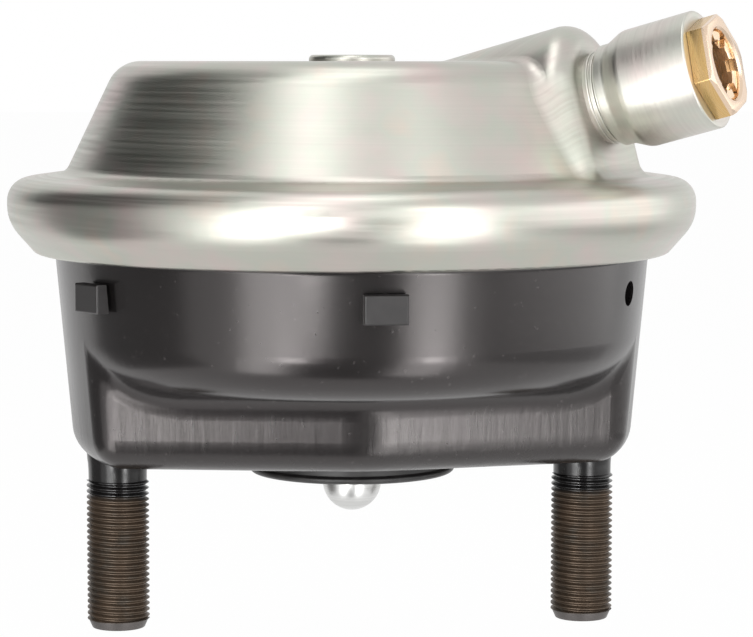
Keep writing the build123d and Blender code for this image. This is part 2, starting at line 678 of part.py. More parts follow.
def main():
    parts = {
        "lower_housing": lower_housing(),
        "stud_left": stud(-1),
        "stud_right": stud(1),
        "pressure_cover": pressure_cover(),
        "port_nozzle": port_nozzle(),
        "nozzle_weld_ring": nozzle_weld_ring(),
        "fitting_body": fitting_body(),
        "fitting_seal": fitting_seal(),
        "tube_seal": tube_seal(),
        "tube_washer": fitting_ring(WASHER_START, WASHER_LENGTH),
        "grip_ring": fitting_ring(GRIP_START, GRIP_LENGTH),
        "release_collet": release_collet(),
        "diaphragm": diaphragm(),
        "push_plate": push_plate(),
        "push_rod": push_rod(),
        "rod_washer": rod_washer(),
        "spring_seat": spring_seat(),
        "return_spring": return_spring(),
        "sealing_collar": sealing_collar(),
        "rod_boot": rod_boot(),
        "boot_retainer": boot_retainer(),
        "boot_clamp": boot_clamp(),
    }
    for place, turn in vent_places():
        if place != VENT_OPEN:
            parts[f"vent_plug_{place + 1}"] = Rot(0, 0, turn) * vent_plug()
    os.makedirs("parts", exist_ok=True)
    for name, solid in parts.items():
        export_step(solid, f"parts/{name}.step")


main()
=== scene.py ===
"""Looks for a diaphragm brake chamber: finishes, turned and threaded pieces, studio and camera."""

import json
from math import cos, pi, radians, sin
from types import SimpleNamespace

import bpy
from bpy.props import FloatProperty, FloatVectorProperty, IntProperty, PointerProperty
from mathutils import Euler, Matrix, Vector


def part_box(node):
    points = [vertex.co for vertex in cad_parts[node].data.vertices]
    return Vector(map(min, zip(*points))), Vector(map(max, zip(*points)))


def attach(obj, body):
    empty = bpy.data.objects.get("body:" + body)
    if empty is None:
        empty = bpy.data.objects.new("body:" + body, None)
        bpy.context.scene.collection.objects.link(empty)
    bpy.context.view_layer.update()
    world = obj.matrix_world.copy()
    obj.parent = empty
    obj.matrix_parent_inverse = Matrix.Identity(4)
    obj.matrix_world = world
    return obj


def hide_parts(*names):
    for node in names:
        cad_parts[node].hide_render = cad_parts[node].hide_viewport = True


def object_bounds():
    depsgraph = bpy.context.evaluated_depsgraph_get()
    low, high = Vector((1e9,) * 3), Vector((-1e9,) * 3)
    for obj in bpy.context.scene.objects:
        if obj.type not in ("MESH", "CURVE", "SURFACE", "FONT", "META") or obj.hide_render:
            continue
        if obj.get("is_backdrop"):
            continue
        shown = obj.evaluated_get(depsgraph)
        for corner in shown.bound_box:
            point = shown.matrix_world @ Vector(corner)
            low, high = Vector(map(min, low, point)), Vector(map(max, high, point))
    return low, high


bl_info = {
    "name": "Brake Chamber",
    "version": (1, 0, 0),
    "blender": (4, 5, 0),
    "location": "View3D > Sidebar > Chamber",
    "description": "Builds the looks of a diaphragm brake chamber around its solid frame",
    "category": "Add Mesh",
}

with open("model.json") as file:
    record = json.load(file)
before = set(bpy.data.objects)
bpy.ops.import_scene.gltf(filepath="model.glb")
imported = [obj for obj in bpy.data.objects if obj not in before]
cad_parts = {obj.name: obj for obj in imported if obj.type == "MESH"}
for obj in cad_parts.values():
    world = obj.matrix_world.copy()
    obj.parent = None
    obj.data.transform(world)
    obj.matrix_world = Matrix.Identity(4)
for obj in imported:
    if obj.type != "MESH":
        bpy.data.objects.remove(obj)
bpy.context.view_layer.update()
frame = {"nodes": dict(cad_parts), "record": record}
MOUNTS = {mount["name"]: mount for mount in frame["record"]["mounts"]}
JOINTS = {joint["name"]: joint for joint in frame["record"]["behaviour"]["joints"]}
MM = 0.001

# Port frame: the middle of the boss face, and the axis that the nozzle and its fitting share
PORT_AXIS = Vector(MOUNTS["air_port"]["axis"]).normalized()
SOCKET_MIDDLE = 15.3 * MM  # from the boss face to the middle of the tube's socket
PORT_FACE = Vector(MOUNTS["air_port"]["pos_m"]) - SOCKET_MIDDLE * PORT_AXIS
PORT_SIDE = Vector((-PORT_AXIS.y, PORT_AXIS.x, 0)).normalized()
PORT_FRAME = Matrix.Translation(PORT_FACE) @ Matrix(
    (PORT_SIDE, PORT_AXIS.cross(PORT_SIDE), PORT_AXIS)
).transposed().to_4x4()


# Sizes and colours


def length(name, description, value):
    return FloatProperty(name=name, description=description, default=value * MM, unit="LENGTH", precision=5)


def colour(name, description, value):
    return FloatVectorProperty(
        name=name, description=description, default=value, subtype="COLOR", size=3, min=0, max=1
    )


class StudSizes(bpy.types.PropertyGroup):
    """Thread, plain part and point of the two studs."""

    axis_offset: length(
        "Axis offset", "Of each stud from the chamber's axis", MOUNTS["mounting_studs"]["dims"]["pcd_mm"] / 2
    )
    crest_radius: length("Crest radius", "Outside radius of the thread", 7.97)
    root_radius: length("Root radius", "Radius at the bottom of the thread", 7.08)
    pitch: length("Pitch", "Distance from one crest to the next", 1.5)
    shoulder_radius: length("Shoulder radius", "Plain part under the mounting face", 7.45)
    shoulder_length: length("Shoulder length", "Length of the plain part", 5.8)
    collar_radius: length("Collar radius", "Where the stud passes through the base", 8.45)
    point_radius: length("Point radius", "At the stud's very end", 6.7)
    chamfer_radius: length("Chamfer radius", "Where the point meets the thread", 7.7)
    chamfer_length: length("Chamfer length", "Of the plain point at the stud's end", 2.3)
    turn_steps: IntProperty(name="Steps", description="Faces around one turn of thread", default=56, min=12)


class RodSizes(bpy.types.PropertyGroup):
    """What the rod has besides the sizes of its solid."""

    stem_radius: length("Stem radius", "Of the rod's top, in the washer and the plate", 5.0)


class CollarSizes(bpy.types.PropertyGroup):
    """Radii, and heights from the mounting face."""

    hole_radius: length("Hole radius", "Round the rod and its boot", 15.8)
    lower_face: length("Lower face", "Underside of the flat ring", -4.4)
    face_radius: length("Face radius", "Where the underside's flat ends", 25.6)
    rim_radius: length("Rim radius", "Outside radius of the ring", 26.4)
    neck_radius: length("Neck radius", "Of the ring where it meets the mounting face", 25.3)
    groove_radius: length("Groove radius", "Of the groove that grips the base", 17.9)
    groove_start: length("Groove start", "Lower side of the groove", 0.48)
    groove_end: length("Groove end", "Upper side of the groove", 3.02)
    lip_radius: length("Lip radius", "Of the lip inside the base", 20.5)
    lip_end: length("Lip end", "Top of the lip", 4.6)


class NozzleSizes(bpy.types.PropertyGroup):
    """Radii, and distances along the port's axis from the boss face."""

    spigot_radius: length("Spigot radius", "Of the end that sits in the boss", 9.0)
    spigot_start: length("Spigot start", "Inner end of the spigot", -3)
    neck_radius: length("Neck radius", "Of the part that is welded to the boss", 11.0)
    neck_end: length("Neck end", "Where the neck meets the step", 3.6)
    step_radius: length("Step radius", "Of the short step beyond the neck", 12.6)
    step_end: length("Step end", "Where the step meets the cone", 6.1)
    body_radius: length("Body radius", "Of the nozzle beyond the cone", 14.6)
    body_start: length("Body start", "Where the cone meets the body", 10.3)
    body_end: length("Body end", "The flat end, under the hexagon", 28.3)
    bore_radius: length("Bore radius", "Round the fitting's cartridge", 10.05)
    bore_start: length("Bore start", "Bottom of that bore", 10.8)
    passage_radius: length("Passage radius", "Of the air passage behind the fitting", 4.5)


class FittingSizes(bpy.types.PropertyGroup):
    """Radii, and distances along the port's axis from the boss face."""

    hexagon_flats: length("Hexagon flats", "Across two flats", 22.5)
    hexagon_face: length("Hexagon face", "Outer face of the hexagon", 33.4)
    hexagon_turn: FloatProperty(
        name="Hexagon turn", description="Of the first corner about the port", default=radians(-14), unit="ROTATION"
    )
    cartridge_radius: length("Cartridge radius", "Of the part inside the nozzle", 10.0)
    socket_radius: length("Socket radius", "Of the tube's socket", 6.05)
    socket_start: length("Socket start", "Where the tube stops", 12.3)
    socket_end: length("Socket end", "Where the socket widens", 18.3)
    ring_radius: length("Ring radius", "Of the bore round the seal and the grip ring", 8.25)
    ring_end: length("Ring end", "Where that bore narrows to the neck", 25.4)
    neck_radius: length("Neck radius", "Round the collet's sleeve", 7.5)
    mouth_start: length("Mouth start", "Bottom of the mouth", 27.6)
    mouth_radius: length("Mouth radius", "Of the opening in the hexagon", 8.8)


class ColletSizes(bpy.types.PropertyGroup):
    """Radii, and distances along the port's axis from the boss face."""

    bore_radius: length("Bore radius", "Clear of the tube", 6.15)
    catch_radius: length("Catch radius", "Of the foot that keeps the collet in", 7.95)
    catch_start: length("Catch start", "Inner end of the collet", 24.0)
    catch_end: length("Catch end", "Where the foot meets the sleeve", 25.25)
    sleeve_radius: length("Sleeve radius", "Between the foot and the head", 7.35)
    head_radius: length("Head radius", "Of the ring that is pressed", 8.55)
    head_start: length("Head start", "Underside of the head", 28.95)
    head_end: length("Head end", "Face of the head", 32.35)
    notch_width: length("Notch width", "Of each notch in the head", 3.0)
    notch_depth: length("Notch depth", "Of each notch in the head", 1.5)
    notches: IntProperty(name="Notches", description="Notches round the head", default=6, min=1)


class FinishColours(bpy.types.PropertyGroup):
    """Base colour of each finish."""

    zinc: colour("Zinc", "Plated steel of the cover and nozzle", (0.505, 0.475, 0.435))
    coating: colour("Coating", "Black dip coating of the lower housing", (0.0045, 0.004, 0.004))
    stud: colour("Stud", "Oiled dark steel of the threads", (0.112, 0.080, 0.056))
    brass: colour("Brass", "Push-in fitting", (0.66, 0.44, 0.19))
    rubber: colour("Rubber", "Collar, boot, seals and diaphragm", (0.014, 0.013, 0.013))
    plug: colour("Plug", "Moulded vent plugs", (0.010, 0.009, 0.009))
    bright_steel: colour("Bright steel", "Rod and clips", (0.72, 0.72, 0.71))


def level(name, description, value):
    return FloatProperty(name=name, description=description, default=value, min=0)


class StageSettings(bpy.types.PropertyGroup):
    """Lamps, sheets and room."""

    left_light: level("Left light", "Radiance of the tall left softbox", 3.3)
    right_light: level("Right light", "Radiance of the tall right softbox", 3.3)
    upper_light: level("Upper light", "Radiance of the upper softbox", 1.9)
    side_light: level("Side light", "Radiance of the wide right softbox", 1.0)
    drum_light: level("Drum light", "Radiance of the small lamp that the drum mirrors", 26.4)
    base_light: level("Base light", "Radiance of the two small lamps that the base mirrors", 12.54)
    left_flag: level("Left flag", "Brightness of the dark flags at the left", 0.04)
    lower_flag: level("Lower flag", "Brightness of the flag that the drum mirrors", 0.24)
    overhead_flag: level("Overhead flag", "Brightness of the flag above the left side", 0.36)
    front_card: level("Front card", "Brightness of the grey card below the lamps", 0.2)
    side_card: level("Side card", "Brightness of the pale card at the right", 0.6)
    room: level("Room", "Brightness of the room on matt surfaces", 0.6)


# Shader maths


SOCKET_NAMES = {
    "base_color": "Base Color",
    "specular": "Specular IOR Level",
    "specular_tint": "Specular Tint",
    "emission_strength": "Emission Strength",
}


class Value:
    """A socket of a node tree. Arithmetic on it adds Math nodes."""

    def __init__(self, nodes, socket):
        self.nodes = nodes
        self.socket = socket

    def maths(self, operation, *others):
        return self.nodes.add("ShaderNodeMath", {"operation": operation}, dict(enumerate((self, *others))))

    def __add__(self, other):
        return self.maths("ADD", other)

    def __sub__(self, other):
        return self.maths("SUBTRACT", other)

    def __mul__(self, other):
        return self.maths("MULTIPLY", other)

    def __rsub__(self, other):
        return (self * -1) + other

    __radd__ = __add__
    __rmul__ = __mul__

    def clamped(self):
        return self.maths("MINIMUM", 1).maths("MAXIMUM", 0)

    def between(self, low, high):
        """0 below one value, 1 above the other, and straight between them."""
        return ((self - low) * (1 / (high - low))).clamped()


class Nodes:
    """A node tree, and the ways to add to it."""

    def __init__(self, tree):
        self.tree = tree

    def add(self, kind, settings=None, inputs=None, output=0):
        """One node of any type: its settings first, then the values or links of its sockets."""
        node = self.tree.nodes.new(kind)
        for key, value in (settings or {}).items():
            if key == "stops":
                self.place_stops(node.color_ramp.elements, value)
            else:
                setattr(node, key, value)
        for key, value in (inputs or {}).items():
            self.feed(node.inputs[key], value)
        return Value(self, node.outputs[output])

    def place_stops(self, elements, stops):
        while len(elements) < len(stops):
            elements.new(1)
        for element, (position, shade) in zip(elements, stops):
            element.position = position
            element.color = (*shade, 1)

    def feed(self, socket, value):
        if isinstance(value, Value):
            self.tree.links.new(value.socket, socket)
        else:
            socket.default_value = value

    def show_background(self, surface, share):
        """Rays from the camera, and those that metal mirrors, see white, mixed with the surface by a share."""
        rays = self.tree.nodes.new("ShaderNodeLightPath").outputs
        seen = Value(self, rays["Is Camera Ray"])
        for kind in ("Is Glossy Ray", "Is Transmission Ray"):
            seen = seen.maths("MAXIMUM", Value(self, rays[kind]))
        white = self.add("ShaderNodeEmission", inputs={"Color": (1, 1, 1, 1), "Strength": 1.0})
        return self.add("ShaderNodeMixShader", inputs={0: seen * share, 1: surface, 2: white})


class Finish(Nodes):
    """A material and the nodes behind its shader."""

    def __init__(self, name, **constants):
        self.material = bpy.data.materials.new(name)
        self.material.use_nodes = True
        super().__init__(self.material.node_tree)
        self.shader = self.tree.nodes["Principled BSDF"]
        self.set(**constants)

    def set(self, **sockets):
        for socket, value in sockets.items():
            self.feed(self.shader.inputs[SOCKET_NAMES.get(socket, socket.title())], value)

    def place(self):
        return self.add("ShaderNodeTexCoord", output="Object")

    def split(self, vector):
        node = self.tree.nodes.new("ShaderNodeSeparateXYZ")
        self.feed(node.inputs[0], vector)
        return [Value(self, output) for output in node.outputs]

    def join(self, x, y, z):
        return self.add("ShaderNodeCombineXYZ", inputs={0: x, 1: y, 2: z})

    def vector_maths(self, operation, *vectors, output=0):
        return self.add("ShaderNodeVectorMath", {"operation": operation}, dict(enumerate(vectors)), output)

    def noise(self, vector, scale=1.0, detail=3.0, roughness=0.55):
        inputs = {"Vector": vector, "Scale": scale, "Detail": detail, "Roughness": roughness}
        return self.add("ShaderNodeTexNoise", inputs=inputs)

    def mix(self, factor, first, second):
        """Two colours mixed. A plain colour is given as three numbers."""
        solid = [c if isinstance(c, Value) else (*c, 1) for c in (first, second)]
        return self.add("ShaderNodeMix", {"data_type": "RGBA"}, {0: factor, 6: solid[0], 7: solid[1]}, 2)

    def bump(self, height, distance, strength):
        inputs = {"Height": height, "Distance": distance, "Strength": strength}
        self.set(normal=self.add("ShaderNodeBump", inputs=inputs))

    def height(self):
        """Distance above the mounting face."""
        return self.split(self.place())[2]

    def axial(self, centre, axis):
        """Distance from an axis, and distance along it from a centre."""
        offset = self.vector_maths("SUBTRACT", self.place(), tuple(centre))
        along = self.vector_maths("DOT_PRODUCT", offset, tuple(axis), output="Value")
        crossed = self.vector_maths("CROSS_PRODUCT", offset, tuple(axis))
        return self.vector_maths("LENGTH", crossed, output="Value"), along


def turned_lines(finish, centre, axis, fineness):
    """Streaks that run round an axis, from 0 to 1, finer with a higher number."""
    radius, along = finish.axial(centre, axis)
    x, y, z = finish.split(finish.place())
    drift = finish.join(x * 14 + (along - radius) * fineness, y * 14, z * 14)
    return finish.noise(drift, detail=4, roughness=0.62)


def drawn_boss(finish):
    """1 on the skin that was drawn out for the port's boss, below the port's axis, and 0 elsewhere."""
    reach, depth = finish.axial(PORT_FACE, PORT_AXIS)
    near = 1 - reach.between(20 * MM, 30 * MM)
    past_root = depth.between(-34 * MM, -24 * MM)
    behind_face = 1 - depth.between(-1 * MM, 0.5 * MM)
    below = 1 - finish.height().between(PORT_FACE.z + 2 * MM, PORT_FACE.z + 7 * MM)
    return near * past_root * behind_face * below


def zinc(name, centre, axis, fineness=750.0, roughness=0.29, painted_lift=0.0):
    """Clear zinc plate over turned or drawn steel, faintly iridescent."""
    shade = tuple(bpy.context.scene.chamber_finish.zinc)
    finish = Finish(name, metallic=1.0)
    lines = turned_lines(finish, centre, axis, fineness)
    cloud = finish.noise(finish.place(), scale=60, detail=3)
    pink, green, straw = (0.56, 0.452, 0.435), (0.455, 0.49, 0.425), (0.535, 0.475, 0.41)
    stops = [(0.30, pink), (0.44, shade), (0.56, green), (0.70, straw)]
    tint = finish.add("ShaderNodeValToRGB", {"stops": stops}, {0: cloud})
    # Painted light: the colour can be lifted towards white, which brightens the metal's reflections.
    toned = finish.mix(painted_lift, finish.mix(0.7, shade, tint), (1.0, 0.98, 0.92))
    streak = lines.between(0.35, 0.65)
    finish.set(base_color=finish.mix(streak * 0.3, toned, (0.42, 0.395, 0.37)))
    grain = finish.noise(finish.place(), scale=900, detail=2)
    drawn = drawn_boss(finish)
    finish.set(roughness=roughness + streak * 0.10 + grain * 0.04 + drawn * 0.36)
    finish.bump(lines * (0.8 - drawn * 0.6) + grain * 0.2, 0.05 * MM, 0.25)
    return finish.material


def coating():
    """Satin black dip coating, with draw marks down the wall and a few specks."""
    shade = tuple(bpy.context.scene.chamber_finish.coating)
    finish = Finish("satin_black_coating", metallic=0.0, specular=0.72, specular_tint=(1.0, 0.94, 0.93, 1))
    x, y, z = finish.split(finish.place())
    marks = finish.noise(finish.join(x * 420, y * 420, z * 16), detail=3, roughness=0.6)
    cloud = finish.noise(finish.place(), scale=38, detail=4)
    specks = finish.noise(finish.place(), scale=800, detail=1).between(0.70, 0.76)
    peel = finish.noise(finish.place(), scale=480, detail=3)
    low = 1 - z.between(14 * MM, 24 * MM)
    clouded = finish.mix(cloud, shade, (0.008, 0.007, 0.007))
    finish.set(base_color=finish.mix(specks * 0.2, clouded, (0.10, 0.09, 0.09)))
    finish.set(roughness=0.20 + cloud * 0.06 + marks * low * 0.07)
    finish.bump(marks * low * 3.0 + cloud * 0.2 + peel * 0.6 + specks * 0.3, 0.08 * MM, 0.25)
    return finish.material


def stud_steel():
    """Dark oiled thread, black where the coating ran down from the mounting face."""
    shade = tuple(bpy.context.scene.chamber_finish.stud)
    finish = Finish("oiled_stud_steel")
    z = finish.height()
    patch = finish.noise(finish.place(), scale=160, detail=4)
    ragged = (patch - 0.5) * 1.5 * MM
    coated = (z + ragged).between(-10.6 * MM, -9.4 * MM)
    worn = finish.mix(patch.between(0.35, 0.7), shade, (0.060, 0.046, 0.034))
    # Painted sheen: the pale patches stand for highlights on the oil, on top of the oiled steel's own colour.
    oiled = finish.mix(patch.between(0.55, 0.8) * 0.5, worn, (0.14, 0.135, 0.12))
    point = 1 - z.between(-42.0 * MM, -41.5 * MM)
    bared = finish.mix(point, oiled, (0.105, 0.096, 0.092))
    finish.set(base_color=finish.mix(coated, bared, (0.006, 0.0055, 0.0055)))
    finish.set(metallic=0.7 - coated * 0.7, roughness=0.36 + patch * 0.16 - coated * 0.22)
    finish.bump(patch, 0.05 * MM, 0.3)
    return finish.material


def brass():
    """Bright machined brass with turning lines about the port's axis."""
    shade = tuple(bpy.context.scene.chamber_finish.brass)
    mouth_radius = bpy.context.scene.chamber_fitting.mouth_radius
    collet_face = bpy.context.scene.chamber_collet.head_end
    finish = Finish("machined_brass", metallic=1.0)
    lines = turned_lines(finish, PORT_FACE, PORT_AXIS, 1600)
    cloud = finish.noise(finish.place(), scale=120, detail=3)
    radius, along = finish.axial(PORT_FACE, PORT_AXIS)
    toned = finish.mix(cloud, shade, (0.60, 0.39, 0.15))
    # Painted sheen: the faces at the fitting's outer end are painted paler and pinker.
    painted_sheen_face = along.between(collet_face - 0.15 * MM, collet_face - 0.10 * MM)
    with_painted_face_sheen = finish.mix(painted_sheen_face, toned, (0.76, 0.59, 0.45))
    # Painted light: the bore inside the mouth is painted paler, to make up for the shade that falls inside it.
    inside = 1 - radius.between(mouth_radius - 0.1 * MM, mouth_radius + 0.1 * MM)
    with_painted_bore_light = finish.mix(inside, with_painted_face_sheen, (0.90, 0.70, 0.50))
    finish.set(base_color=finish.mix(lines.between(0.4, 0.7) * 0.2, with_painted_bore_light, (0.78, 0.60, 0.38)))
    finish.set(roughness=0.20 + lines * 0.14)
    finish.bump(lines, 0.02 * MM, 0.25)
    return finish.material


def rubber(name, roughness):
    """Black moulded rubber, a little dusty."""
    shade = tuple(bpy.context.scene.chamber_finish.rubber)
    finish = Finish(name, metallic=0.0)
    dust = finish.noise(finish.place(), scale=240, detail=5)
    finish.set(base_color=finish.mix(dust.between(0.45, 0.75) * 0.3, shade, (0.06, 0.057, 0.055)))
    finish.set(roughness=roughness + dust * 0.15)
    finish.bump(dust, 0.04 * MM, 0.3)
    return finish.material


def moulded_plug():
    """Black moulded plastic with fine flow marks."""
    shade = tuple(bpy.context.scene.chamber_finish.plug)
    finish = Finish("moulded_plug", metallic=0.0)
    flow = finish.noise(finish.place(), scale=420, detail=3)
    finish.set(base_color=finish.mix(flow, shade, (0.020, 0.018, 0.018)))
    finish.set(roughness=0.34 + flow * 0.14)
    finish.bump(flow, 0.04 * MM, 0.4)
    return finish.material


def plain_plastic():
    """Uncoloured plastic of the washer inside the fitting."""
    finish = Finish("natural_plastic", metallic=0.0)
    flow = finish.noise(finish.place(), scale=300, detail=2)
    finish.set(base_color=finish.mix(flow, (0.74, 0.72, 0.67), (0.62, 0.60, 0.55)), roughness=0.4 + flow * 0.1)
    return finish.material


def bright_steel(name, fineness, roughness):
    """Turned or ground steel with lines round the chamber's axis."""
    shade = tuple(bpy.context.scene.chamber_finish.bright_steel)
    finish = Finish(name, metallic=1.0)
    lines = turned_lines(finish, (0, 0, 0), (0, 0, 1), fineness)
    finish.set(base_color=finish.mix(lines.between(0.35, 0.7), shade, (0.56, 0.56, 0.55)))
    finish.set(roughness=roughness + lines * 0.14)
    finish.bump(lines, 0.06 * MM, 0.5)
    return finish.material


def make_finishes():
    up = (0, 0, 1)
    return {
        "cover_zinc": zinc("cover_zinc_plate", (0, 0, 0), up),
        # The nozzle's zinc is lifted 18 % towards white: painted light, a brighter copy of the cover's finish.
        "nozzle_zinc": zinc("nozzle_zinc_plate", PORT_FACE, PORT_AXIS, 1100.0, 0.33, 0.18),
        "housing_coating": coating(),
        "stud_steel": stud_steel(),
        "fitting_brass": brass(),
        "collar_rubber": rubber("collar_rubber", 0.38),
        "diaphragm_rubber": rubber("diaphragm_rubber", 0.5),
        "seal_rubber": rubber("seal_rubber", 0.35),
        "seal_plastic": plain_plastic(),
        "plug_plastic": moulded_plug(),
        "rod_steel": bright_steel("turned_rod_steel", 2600.0, 0.28),
        "plate_steel": bright_steel("pressed_plate_steel", 500.0, 0.3),
        "spring_steel": bright_steel("spring_steel", 700.0, 0.25),
        "spring_coating": rubber("spring_coating", 0.3),
    }


finishes = {}


def finish_of(slot):
    """The finish of a material slot. All of them are made the first time that one is asked for."""
    if not finishes:
        finishes.update(make_finishes())
    return finishes[slot]


# Modelling


SMOOTH = radians(30)  # edges sharper than this stay hard
THREAD_SMOOTH = radians(40)
WIDE_STEPS, NARROW_STEPS = 128, 96  # faces round a turned piece
SPIN_MERGE = 0.002 * MM  # vertices closer than this become one
THREAD_MERGE = 0.004 * MM
AT_POINT = 0.001 * MM  # vertices closer than this lie at a point


def in_mm(group):
    """The lengths of a property group in mm, under the same names."""
    lengths = [each.identifier for each in group.bl_rna.properties if getattr(each, "unit", "") == "LENGTH"]
    return SimpleNamespace(**{name: round(getattr(group, name) / MM, 5) for name in lengths})


def vertex_mode():
    bpy.ops.object.mode_set(mode="EDIT")
    bpy.ops.mesh.select_mode(type="VERT")


def object_mode():
    bpy.ops.object.mode_set(mode="OBJECT")
    return bpy.context.object


def pick(*pieces):
    """Selects pieces alone, with the first one active."""
    bpy.ops.object.select_all(action="DESELECT")
    for piece in pieces:
        piece.select_set(True)
    bpy.context.view_layer.objects.active = pieces[0]


def select_at(point):
    """Selects the vertices of the object in edit mode that lie at a point."""
    mesh = object_mode().data
    for item in (*mesh.vertices, *mesh.edges, *mesh.polygons):
        item.select = False
    for vertex in mesh.vertices:
        vertex.select = (vertex.co - point).length < AT_POINT
    bpy.ops.object.mode_set(mode="EDIT")


def outline(corners):
    """An open line in the XZ plane, drawn by extruding one vertex. A corner is (radius, height, bevel) in mm."""
    bpy.ops.object.select_all(action="DESELECT")
    bpy.ops.mesh.primitive_plane_add(size=MM)
    vertex_mode()
    bpy.ops.mesh.merge(type="CENTER")
    points = [Vector((c[0], 0, c[1])) * MM for c in corners]
    bpy.ops.transform.translate(value=points[0])
    for here, there in zip(points, points[1:]):
        bpy.ops.mesh.extrude_region_move(TRANSFORM_OT_translate={"value": there - here})
    for corner, point in zip(corners, points):
        if len(corner) > 2:
            select_at(point)
            bpy.ops.mesh.bevel(affect="VERTICES", offset_type="OFFSET", offset=corner[2] * MM, segments=8)
    return object_mode()


def turned(name, corners, steps=WIDE_STEPS):
    """A turned piece about Z: its outline, spun round once and closed."""
    outline(corners)
    vertex_mode()
    bpy.ops.mesh.select_all(action="SELECT")
    bpy.ops.mesh.spin(steps=steps, angle=2 * pi, center=(0, 0, 0), axis=(0, 0, 1))
    bpy.ops.mesh.select_all(action="SELECT")
    bpy.ops.mesh.remove_doubles(threshold=SPIN_MERGE)
    bpy.ops.mesh.normals_make_consistent(inside=False)
    piece = object_mode()
    piece.name = name
    bpy.ops.object.shade_smooth_by_angle(angle=SMOOTH)
    return piece


def apply_modifier(kind, **settings):
    bpy.ops.object.modifier_add(type=kind)
    modifier = bpy.context.object.modifiers[-1]
    for key, value in settings.items():
        setattr(modifier, key, value)
    bpy.ops.object.modifier_apply(modifier=modifier.name)


def cut_with(piece, tool, operation):
    """Applies a Boolean to a piece and removes the tool."""
    pick(piece)
    apply_modifier("BOOLEAN", operation=operation, object=tool, solver="EXACT")
    bpy.data.objects.remove(tool)


def put(piece, matrix):
    """Moves a piece's mesh to its place, with its object left at the origin."""
    piece.matrix_world = matrix
    pick(piece)
    bpy.ops.object.transform_apply(location=True, rotation=True, scale=True)
    return piece


def joined(*pieces):
    pick(*pieces)
    bpy.ops.object.join()
    return pieces[0]


def dress(piece, slot, body, node):
    """Gives a piece its finish, its body and the solid that it stands for."""
    piece.data.materials.clear()
    piece.data.materials.append(finish_of(slot))
    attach(piece, body)
    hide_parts(node)
    return piece


class Builder(bpy.types.Operator):
    """What the operators below share."""

    bl_options = {"REGISTER", "UNDO"}


class CHAMBER_OT_studs(Builder):
    """Model the two threaded mounting studs"""

    bl_idname = "chamber.studs"
    bl_label = "Mounting Studs"

    def thread(self, sizes, low):
        """A turn of thread, repeated down the stud and cut off square at both ends."""
        mm = in_mm(sizes)
        flat = mm.pitch / 8
        rise = (mm.pitch - 2 * flat) / 2
        outline([
            (mm.root_radius, 0), (mm.root_radius, flat), (mm.crest_radius, flat + rise),
            (mm.crest_radius, 2 * flat + rise), (mm.root_radius, mm.pitch),
        ])
        top = -sizes.shoulder_length
        turns = int((top - low) / sizes.pitch) + 3
        apply_modifier(
            "SCREW", angle=2 * pi, screw_offset=-sizes.pitch, iterations=turns, axis="Z",
            steps=sizes.turn_steps, render_steps=sizes.turn_steps, use_merge_vertices=True, merge_threshold=1e-6,
        )
        thread = bpy.context.object
        for vertex in thread.data.vertices:
            place = vertex.co
            height = place.z + top + sizes.pitch
            if height >= top:
                shrink = sizes.shoulder_radius / Vector((place.x, place.y)).length
                place.x, place.y = place.x * shrink, place.y * shrink
            place.z = min(max(height, low), top)
        vertex_mode()
        bpy.ops.mesh.select_all(action="SELECT")
        bpy.ops.mesh.remove_doubles(threshold=THREAD_MERGE)
        bpy.ops.mesh.dissolve_degenerate(threshold=THREAD_MERGE)
        bpy.ops.mesh.select_all(action="DESELECT")
        bpy.ops.mesh.select_non_manifold()
        bpy.ops.mesh.fill_holes(sides=0)
        bpy.ops.mesh.select_all(action="SELECT")
        bpy.ops.mesh.normals_make_consistent(inside=False)
        object_mode()
        bpy.ops.object.shade_smooth_by_angle(angle=THREAD_SMOOTH)
        return thread

    def neck(self, mm):
        """The plain part above the thread, flared towards the base and its collar."""
        low = -mm.shoulder_length
        return turned("neck", [
            (0, low - 0.2), (mm.shoulder_radius - 0.2, low - 0.2), (mm.shoulder_radius, low, 0.1),
            (7.5, -2.4, 1.2), (7.85, 0.4, 1.2), (7.9, 2.3, 0.2),
            (mm.collar_radius, 3.1, 0.2), (mm.collar_radius, 5.0), (0, 5.0),
        ], NARROW_STEPS)

    def point(self, mm, tip):
        """The chamfered end below the thread."""
        low = tip + mm.chamfer_length
        high = low + 0.3
        return turned("point", [
            (0, tip), (mm.point_radius, tip, 0.2), (mm.chamfer_radius, low, 0.15), (7.0, high), (0, high), (0, tip),
        ], NARROW_STEPS)

    def execute(self, context):
        sizes = context.scene.chamber_studs
        mm = in_mm(sizes)
        for side, x in (("left", -sizes.axis_offset), ("right", sizes.axis_offset)):
            node = f"stud_{side}"
            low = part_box(node)[0][2]
            thread = self.thread(sizes, low + sizes.chamfer_length)
            stud = joined(thread, self.neck(mm), self.point(mm, low / MM))
            stud.name = f"threaded_{node}"
            put(stud, Matrix.Translation((x, 0, 0)))
            dress(stud, "stud_steel", "casing", node)
        return {"FINISHED"}


class CHAMBER_OT_rod(Builder):
    """Model the push rod with its turned ball end"""

    bl_idname = "chamber.rod"
    bl_label = "Push Rod"

    def execute(self, context):
        low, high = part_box("push_rod")
        tip, top = low[2] / MM, high[2] / MM
        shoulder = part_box("rod_washer")[0][2] / MM
        radius = high[0] / MM
        stem = in_mm(context.scene.chamber_rod).stem_radius
        ball = [
            (radius * sin(radians(a)), tip + radius - radius * cos(radians(a))) for a in range(0, 91, 3)
        ]
        rod = turned("turned_push_rod", [
            *ball, (radius, shoulder), (stem, shoulder), (stem, top), (0, top),
        ], NARROW_STEPS)
        dress(rod, "rod_steel", "rod", "push_rod")
        return {"FINISHED"}


